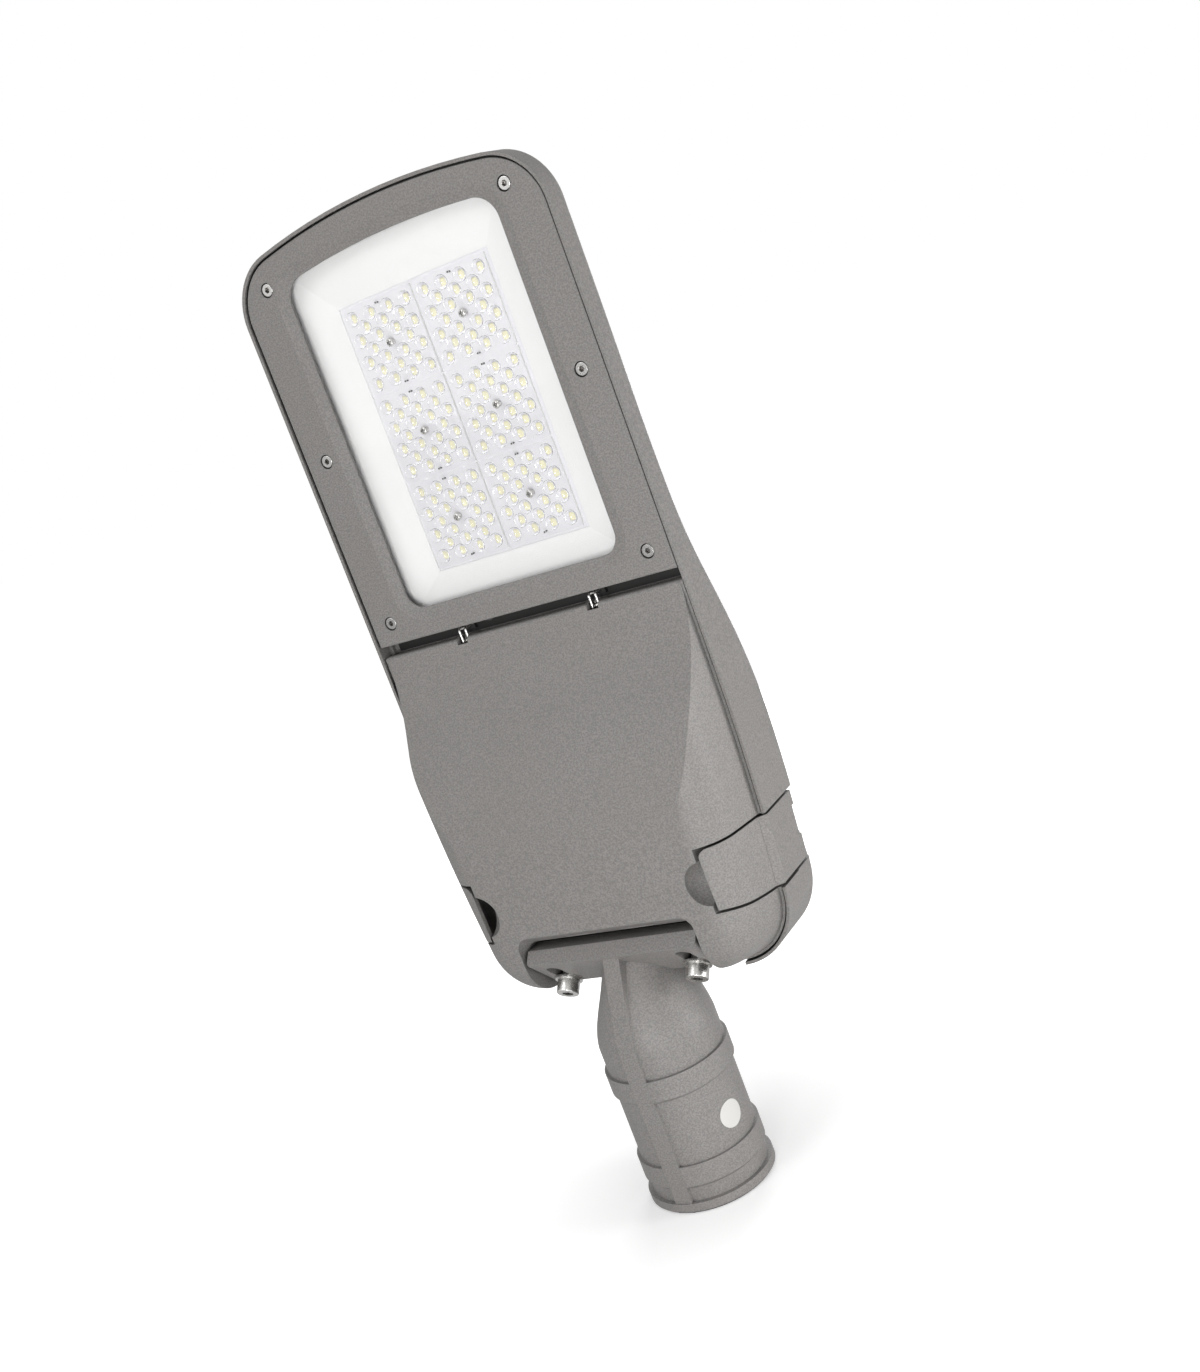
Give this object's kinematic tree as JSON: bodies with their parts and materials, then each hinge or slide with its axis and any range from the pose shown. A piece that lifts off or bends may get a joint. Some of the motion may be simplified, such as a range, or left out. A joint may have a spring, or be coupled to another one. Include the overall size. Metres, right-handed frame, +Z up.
{
  "type": "led street light head",
  "caption": "LED street light head with flat glass, hinged gear cover held by side latches, and a spigot for a 60 mm pole end.",
  "frame": {"origin": "middle of the pole socket's mouth at the end of the spigot", "axes": "+Y along the lamp from the socket's mouth to the nose, +Z up to the finned back, light faces -Z, +X to the side so that the frame is right-handed"},
  "size_m": [0.2096, 0.5805, 0.1051],
  "materials": {
    "painted_casting": "fine speckled powder coat, matt",
    "stainless_steel": "satin",
    "flat_glass": "clear",
    "black_rubber": "matt",
    "white_tray": "matt white",
    "white_board": "satin white",
    "led_phosphor": "pale yellow, matt",
    "clear_lens": "clear moulded plastic",
    "white_sticker": "paper",
    "zinc_sheet": "zinc plated sheet",
    "white_plastic_case": "moulded",
    "black_plastic": "moulded"
  },
  "bodies": {
    "lamp": {"housing": "painted_casting", "bezel_frame": "painted_casting", "bezel_screws": "stainless_steel", "lens_glass": "flat_glass", "glass_gasket": "black_rubber", "reflector_tray": "white_tray", "led_board": "white_board", "led_chips": "led_phosphor", "lens_plate_1": "clear_lens", "lens_plate_2": "clear_lens", "lens_plate_3": "clear_lens", "lens_plate_4": "clear_lens", "lens_plate_5": "clear_lens", "lens_plate_6": "clear_lens", "module_screws": "stainless_steel", "cover_gasket": "black_rubber", "hinge_hooks": "stainless_steel", "latch_pin_right": "stainless_steel", "latch_pin_left": "stainless_steel", "spigot": "painted_casting", "spigot_gasket": "black_rubber", "spigot_bolts": "stainless_steel", "spigot_washers": "stainless_steel", "clamp_screws": "stainless_steel", "inspection_sticker": "white_sticker", "gear_tray": "zinc_sheet", "tray_screws": "stainless_steel", "led_driver": "white_plastic_case", "surge_protector": "white_plastic_case", "terminal_block": "black_plastic", "cable_clamp": "black_plastic", "cable_gland": "black_plastic", "breather_vent": "black_plastic"},
    "gear_cover": {"gear_cover": "painted_casting", "hinge_pins": "stainless_steel"},
    "latch_right": {"latch_right": "painted_casting"},
    "latch_left": {"latch_left": "painted_casting"}
  },
  "joints": [
    {"name": "cover_hinge", "type": "hinge", "parent": "lamp", "child": "gear_cover", "pos_m": [0, 0.3367, 0.0265], "axis": [1, 0, 0], "range_deg": [0, 60]},
    {"name": "latch_right_hinge", "type": "hinge", "parent": "lamp", "child": "latch_right", "pos_m": [0.092, 0.185, 0.0545], "axis": [0, -1, 0], "range_deg": [0, 100]},
    {"name": "latch_left_hinge", "type": "hinge", "parent": "lamp", "child": "latch_left", "pos_m": [-0.092, 0.185, 0.0545], "axis": [0, 1, 0], "range_deg": [0, 100]}
  ]
}
